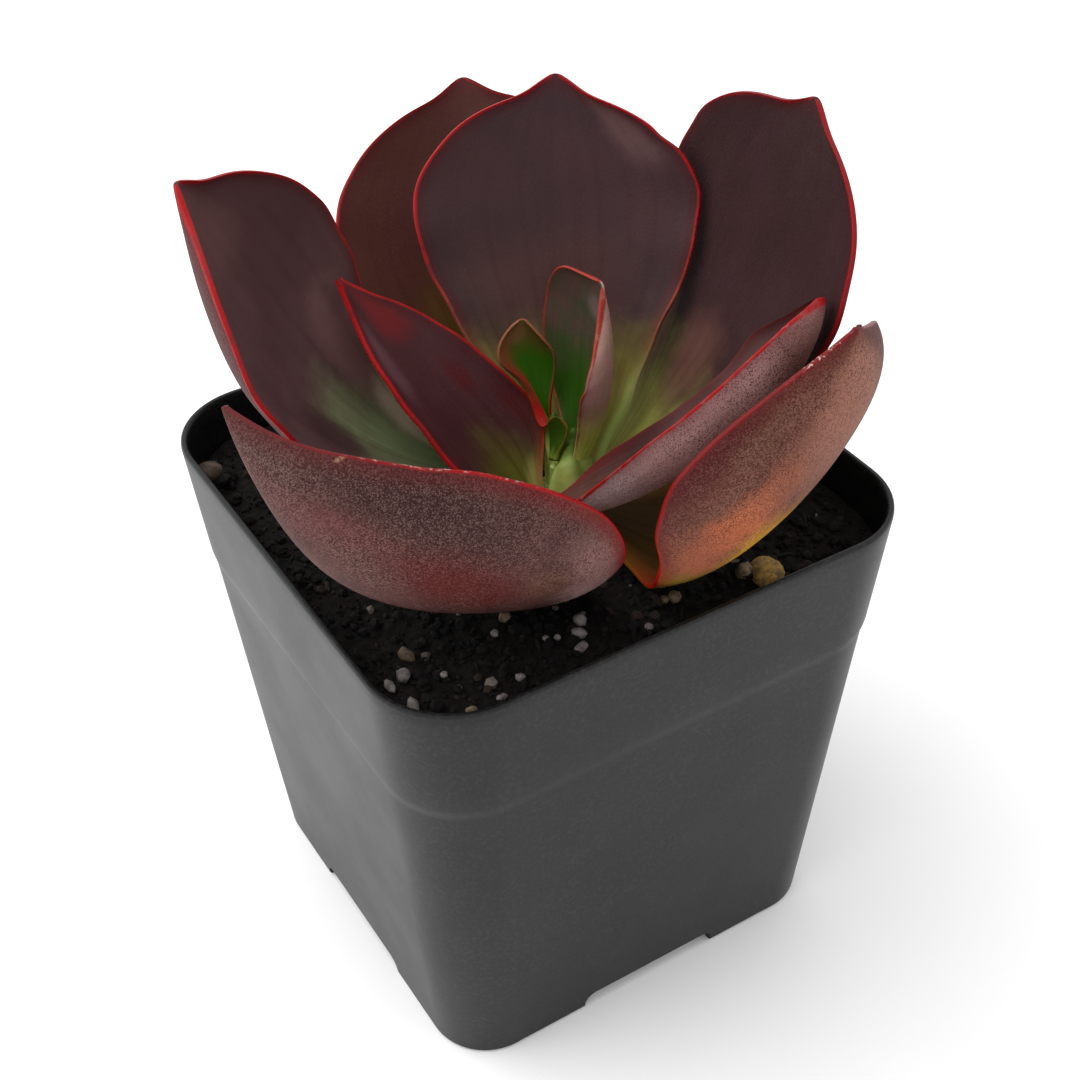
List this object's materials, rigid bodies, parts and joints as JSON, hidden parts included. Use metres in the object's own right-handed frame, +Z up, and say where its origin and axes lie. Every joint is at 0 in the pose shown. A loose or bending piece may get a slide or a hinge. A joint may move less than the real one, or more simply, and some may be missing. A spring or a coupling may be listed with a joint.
{
  "type": "potted echeveria",
  "caption": "Potted echeveria: a loose rosette of cupped, fleshy leaves with thin red margins, in soil in a square, tapered nursery pot.",
  "frame": {"origin": "centre of the pot's underside, on the surface that it stands on", "axes": "+Z up; X and Y square to the pot's sides; the corner between -X and -Y faces the picture's camera"},
  "size_m": [0.0709, 0.0728, 0.1032],
  "materials": {
    "black_plastic": "satin",
    "potting_soil": "matte",
    "leaf_burgundy": "satin",
    "leaf_lilac_brown": "satin",
    "heart_green": "satin"
  },
  "bodies": {
    "root": {"pot": "black_plastic", "soil": "potting_soil", "stem": "heart_green", "leaf_back": "leaf_burgundy", "leaf_back_left": "leaf_burgundy", "leaf_back_right": "leaf_burgundy", "leaf_left": "leaf_burgundy", "leaf_front_left": "leaf_lilac_brown", "leaf_front_right": "leaf_lilac_brown", "leaf_left_inner": "leaf_burgundy", "leaf_right_folded": "leaf_lilac_brown", "heart_leaf_right": "heart_green", "heart_leaf_left": "heart_green", "heart_bud": "heart_green"}
  },
  "joints": []
}
